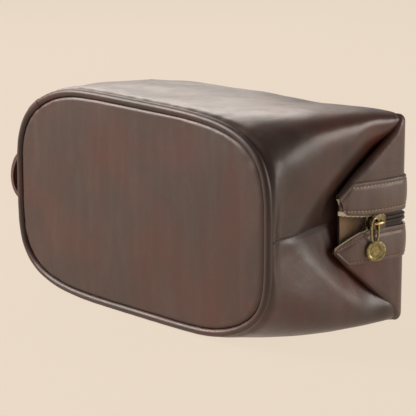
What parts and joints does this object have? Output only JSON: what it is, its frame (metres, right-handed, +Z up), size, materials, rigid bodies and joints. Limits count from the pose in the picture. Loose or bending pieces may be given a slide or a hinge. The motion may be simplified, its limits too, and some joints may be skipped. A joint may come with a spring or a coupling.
{
  "type": "shaving kit bag",
  "caption": "Zipped leather wash bag lying on its back wall: piped oblong base, tapered walls, V-shaped end flaps, brass pull and an end loop handle.",
  "frame": {"origin": "middle of the back wall's outer face, which lies on the floor", "axes": "+X along the bag towards the end with the zip slider, +Y from the base to the zip, +Z up from the back wall"},
  "size_m": [0.3077, 0.1312, 0.155],
  "materials": {
    "leather": "waxed, semi-gloss",
    "leather_inner": "matt flesh side",
    "lining": "matt cotton",
    "board": "matt",
    "cord": "twisted cotton",
    "zip_tape": "woven polyester",
    "zip_coil": "satin nylon",
    "antique_brass": "antiqued"
  },
  "bodies": {
    "shell": {"back_edge_fold": "leather", "back_lining": "lining", "back_wall": "leather", "base_board": "board", "base_lining": "lining", "base_panel": "leather", "base_piping": "leather", "front_edge_fold": "leather", "front_lining": "lining", "front_wall": "leather", "handle_lining": "leather_inner", "handle_strap": "leather", "left_edge_fold": "leather", "left_end_gusset": "leather_inner", "piping_cord": "cord", "right_edge_fold": "leather", "right_end_gusset": "leather_inner"},
    "front_top": {"top_coil_front": "zip_coil", "top_facing_front": "leather", "top_lining_front": "lining", "top_panel_front": "leather", "top_tape_front": "zip_tape"},
    "back_top": {"top_coil_back": "zip_coil", "top_facing_back": "leather", "top_lining_back": "lining", "top_panel_back": "leather", "top_tape_back": "zip_tape"},
    "right_flap": {"right_flap_coil_back": "zip_coil", "right_flap_coil_front": "zip_coil", "right_flap_facing_back": "leather", "right_flap_facing_front": "leather", "right_flap_panel_back": "leather", "right_flap_panel_front": "leather", "right_flap_tape_back": "zip_tape", "right_flap_tape_front": "zip_tape", "right_flap_underlay": "leather_inner", "zip_top_stop_back": "antique_brass", "zip_top_stop_front": "antique_brass"},
    "left_flap": {"left_flap_coil_back": "zip_coil", "left_flap_coil_front": "zip_coil", "left_flap_facing_back": "leather", "left_flap_facing_front": "leather", "left_flap_panel_back": "leather", "left_flap_panel_front": "leather", "left_flap_tape_back": "zip_tape", "left_flap_tape_front": "zip_tape", "left_flap_underlay": "leather_inner", "zip_bottom_stop": "antique_brass"},
    "zip_slider": {"slider_body": "antique_brass", "slider_bridge": "antique_brass"},
    "zip_pull": {"pull_loop": "antique_brass", "pull_medallion": "antique_brass"}
  },
  "joints": [
    {"name": "front_top_lift", "type": "hinge", "parent": "shell", "child": "front_top", "pos_m": [0, 0.05435, 0.137], "axis": [1, 0, 0], "range_deg": [0, 80]},
    {"name": "back_top_lift", "type": "hinge", "parent": "shell", "child": "back_top", "pos_m": [0, 0.05435, 0.009], "axis": [-1, 0, 0], "range_deg": [0, 80]},
    {"name": "right_flap_lift", "type": "hinge", "parent": "shell", "child": "right_flap", "pos_m": [0.1255, 0.05435, 0.0775], "axis": [0, 0, 1], "range_deg": [0, 80]},
    {"name": "left_flap_lift", "type": "hinge", "parent": "shell", "child": "left_flap", "pos_m": [-0.1255, 0.05435, 0.0775], "axis": [0, 0, -1], "range_deg": [0, 80]},
    {"name": "slider_run", "type": "slide", "parent": "right_flap", "child": "zip_slider", "axis": [0, 1, 0], "range_m": [0, 0.012]},
    {"name": "pull_swing", "type": "hinge", "parent": "zip_slider", "child": "zip_pull", "pos_m": [0.14, 0.03035, 0.0775], "axis": [-1, 0, 0], "range_deg": [-38, 218]}
  ]
}
